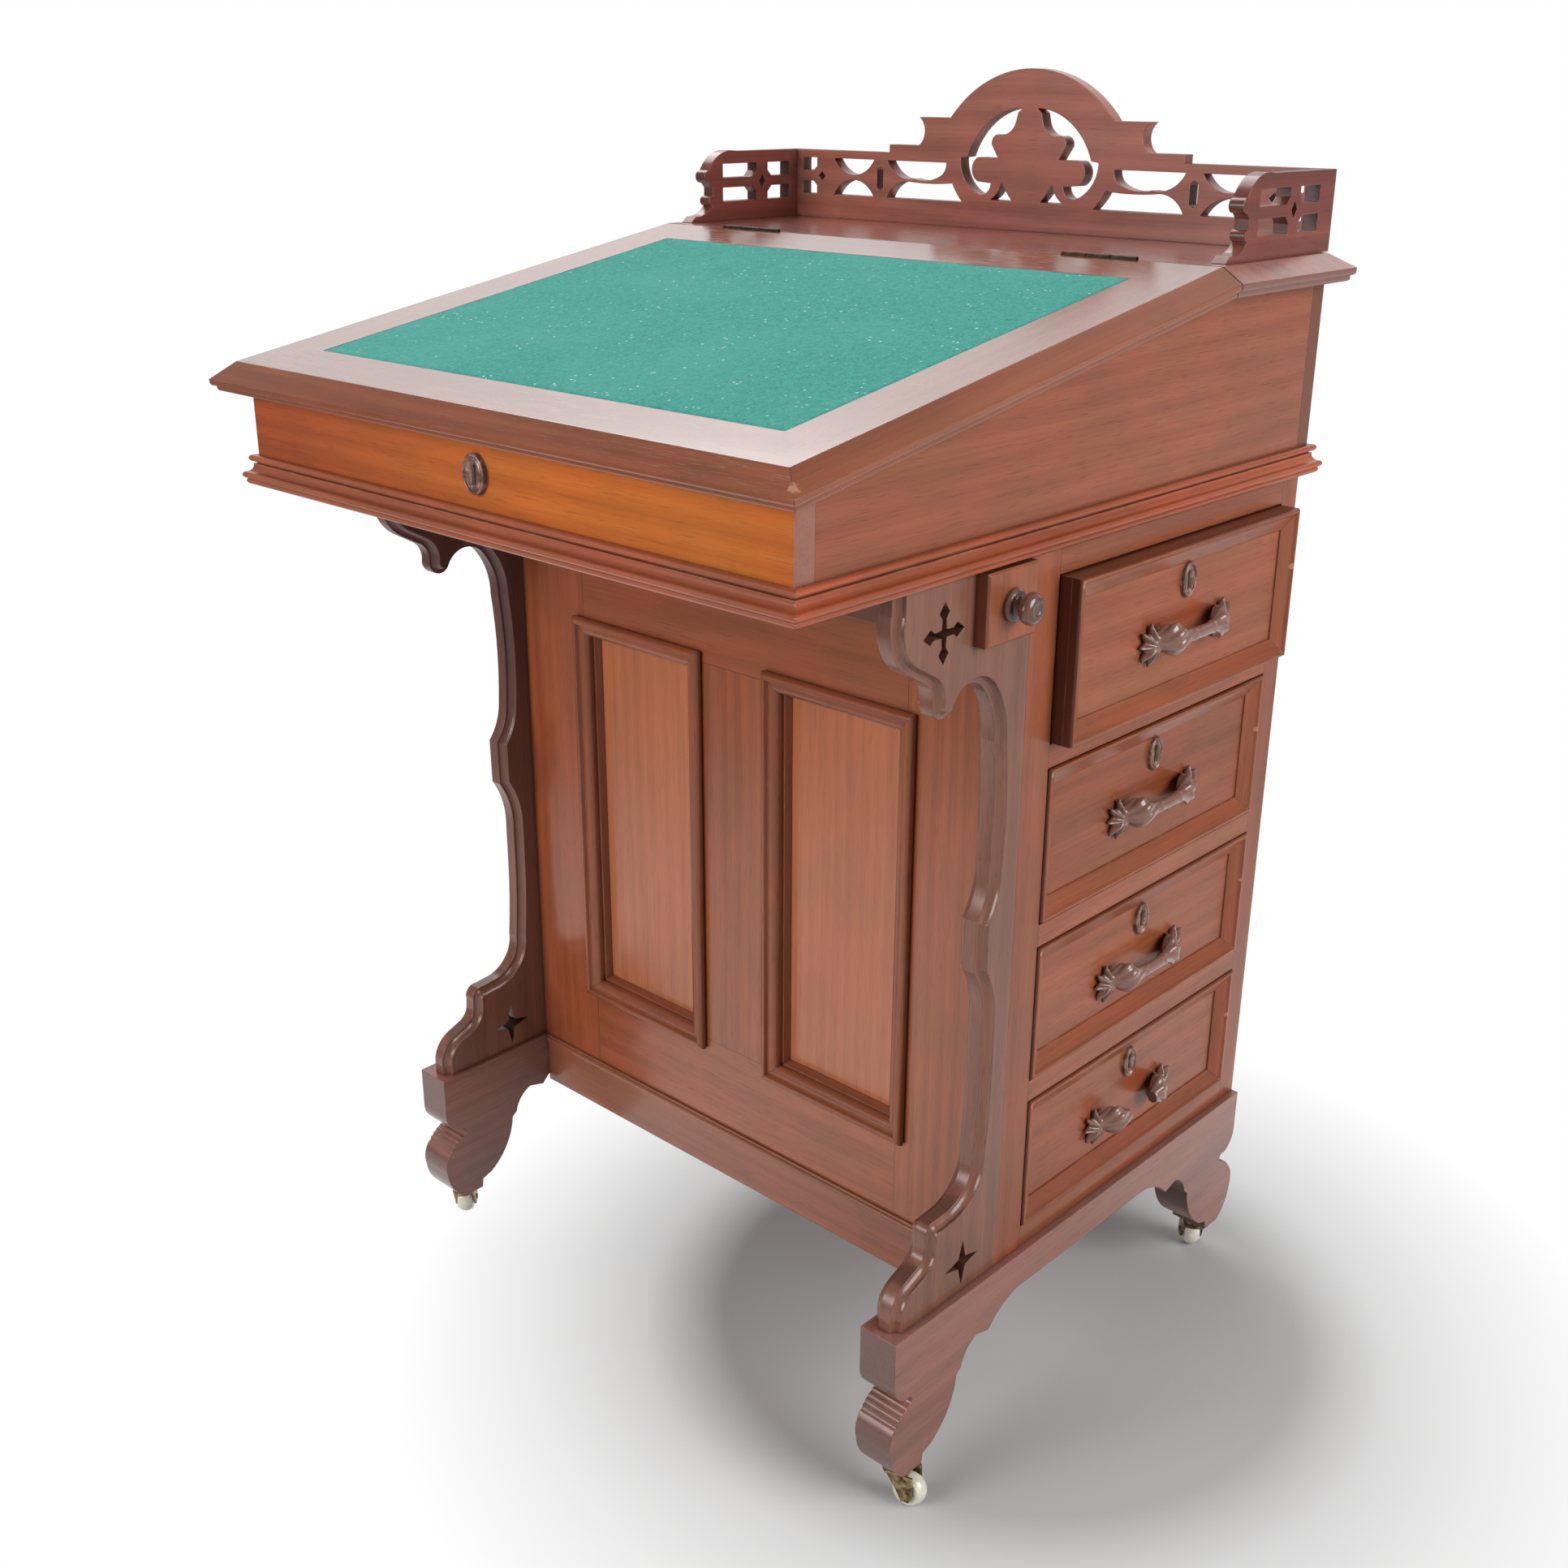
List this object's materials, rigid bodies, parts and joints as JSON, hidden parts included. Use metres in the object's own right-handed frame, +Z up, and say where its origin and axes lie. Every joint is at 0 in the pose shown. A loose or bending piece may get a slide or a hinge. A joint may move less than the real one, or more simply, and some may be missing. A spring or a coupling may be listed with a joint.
{
  "type": "davenport desk",
  "caption": "Small walnut davenport desk with a sloping baize lid, fretwork gallery, side drawers, pen drawer and scroll feet on casters.",
  "frame": {"origin": "on the floor under the middle of the overall bounding box", "axes": "+Z up, -Y towards the sitter's side (the front of the sloping lid), +X towards the side with the drawers"},
  "size_m": [0.5796, 0.6019, 0.9786],
  "materials": {
    "walnut": "polished walnut with straight grain",
    "figured_walnut": "polished figured walnut veneer",
    "dark_walnut": "polished solid walnut, darker",
    "carved_wood": "stained and polished carved wood",
    "inner_wood": "plain unpolished wood",
    "baize": "short napped green cloth",
    "old_brass": "worn brass",
    "horn": "worn brass keyhole plate",
    "porcelain": "glazed cream ceramic"
  },
  "bodies": {
    "carcass": {"foot_rail_left": "dark_walnut", "foot_rail_right": "dark_walnut", "base_front_rail": "walnut", "base_board": "inner_wood", "caster_sockets": "old_brass", "case_front_frame": "walnut", "case_front_panels": "figured_walnut", "case_front_mouldings": "walnut", "case_back": "walnut", "case_right_frame": "walnut", "case_left_frame": "walnut", "false_drawer_fronts": "walnut", "false_drawer_handles": "carved_wood", "drawer_runners": "inner_wood", "bracket_left": "dark_walnut", "bracket_right": "dark_walnut", "pen_housing": "inner_wood", "box_left_side": "walnut", "box_right_side": "walnut", "box_front": "figured_walnut", "box_back": "walnut", "box_bottom": "inner_wood", "box_moulding": "walnut", "box_keyhole_plate": "horn", "ledge": "walnut", "hinge_fixed_leaves": "old_brass", "gallery_back": "dark_walnut", "gallery_left": "dark_walnut", "gallery_right": "dark_walnut"},
    "lid": {"lid_frame": "walnut", "lid_panel": "walnut", "lid_baize": "baize", "hinge_lid_leaves": "old_brass"},
    "pen_drawer": {"pen_drawer_front": "walnut", "pen_drawer_tray": "inner_wood", "pen_drawer_knob": "carved_wood"},
    "drawer_1": {"drawer_1_front": "walnut", "drawer_1_box": "inner_wood", "drawer_1_keyhole_plate": "horn", "drawer_1_handle": "carved_wood"},
    "drawer_2": {"drawer_2_front": "walnut", "drawer_2_box": "inner_wood", "drawer_2_keyhole_plate": "horn", "drawer_2_handle": "carved_wood"},
    "drawer_3": {"drawer_3_front": "walnut", "drawer_3_box": "inner_wood", "drawer_3_keyhole_plate": "horn", "drawer_3_handle": "carved_wood"},
    "drawer_4": {"drawer_4_front": "walnut", "drawer_4_box": "inner_wood", "drawer_4_keyhole_plate": "horn", "drawer_4_handle": "carved_wood"},
    "caster_front_left_swivel": {"caster_front_left_fork": "old_brass"},
    "caster_front_left_roller": {"caster_front_left_wheel": "porcelain"},
    "caster_front_right_swivel": {"caster_front_right_fork": "old_brass"},
    "caster_front_right_roller": {"caster_front_right_wheel": "porcelain"},
    "caster_rear_left_swivel": {"caster_rear_left_fork": "old_brass"},
    "caster_rear_left_roller": {"caster_rear_left_wheel": "porcelain"},
    "caster_rear_right_swivel": {"caster_rear_right_fork": "old_brass"},
    "caster_rear_right_roller": {"caster_rear_right_wheel": "porcelain"}
  },
  "joints": [
    {"name": "lid_hinge", "type": "hinge", "parent": "carcass", "child": "lid", "pos_m": [-0.0052, 0.13865, 0.85456], "axis": [-1, 0, 0], "range_deg": [0, 105]},
    {"name": "drawer_1_slide", "type": "slide", "parent": "carcass", "child": "drawer_1", "axis": [1, 0, 0], "range_m": [-0.015, 0.265]},
    {"name": "drawer_2_slide", "type": "slide", "parent": "carcass", "child": "drawer_2", "axis": [1, 0, 0], "range_m": [0, 0.28]},
    {"name": "drawer_3_slide", "type": "slide", "parent": "carcass", "child": "drawer_3", "axis": [1, 0, 0], "range_m": [0, 0.28]},
    {"name": "drawer_4_slide", "type": "slide", "parent": "carcass", "child": "drawer_4", "axis": [1, 0, 0], "range_m": [0, 0.28]},
    {"name": "pen_drawer_slide", "type": "slide", "parent": "carcass", "child": "pen_drawer", "axis": [1, 0, 0], "range_m": [0, 0.16]},
    {"name": "caster_front_left_turn", "type": "hinge", "parent": "carcass", "child": "caster_front_left_swivel", "pos_m": [-0.2602, -0.15335, 0.031], "axis": [0, 0, 1], "continuous": true},
    {"name": "caster_front_left_roll", "type": "hinge", "parent": "caster_front_left_swivel", "child": "caster_front_left_roller", "pos_m": [-0.26869, -0.14486, 0.013], "axis": [0.7071, 0.7071, 0], "continuous": true},
    {"name": "caster_front_right_turn", "type": "hinge", "parent": "carcass", "child": "caster_front_right_swivel", "pos_m": [0.2498, -0.15335, 0.031], "axis": [0, 0, 1], "continuous": true},
    {"name": "caster_front_right_roll", "type": "hinge", "parent": "caster_front_right_swivel", "child": "caster_front_right_roller", "pos_m": [0.26139, -0.15024, 0.013], "axis": [0.2588, -0.9659, 0], "continuous": true},
    {"name": "caster_rear_left_turn", "type": "hinge", "parent": "carcass", "child": "caster_rear_left_swivel", "pos_m": [-0.2602, 0.25965, 0.031], "axis": [0, 0, 1], "continuous": true},
    {"name": "caster_rear_left_roll", "type": "hinge", "parent": "caster_rear_left_swivel", "child": "caster_rear_left_roller", "pos_m": [-0.26331, 0.27124, 0.013], "axis": [0.9659, 0.2588, 0], "continuous": true},
    {"name": "caster_rear_right_turn", "type": "hinge", "parent": "carcass", "child": "caster_rear_right_swivel", "pos_m": [0.2498, 0.25965, 0.031], "axis": [0, 0, 1], "continuous": true},
    {"name": "caster_rear_right_roll", "type": "hinge", "parent": "caster_rear_right_swivel", "child": "caster_rear_right_roller", "pos_m": [0.24209, 0.26884, 0.013], "axis": [0.766, 0.6428, 0], "continuous": true}
  ]
}
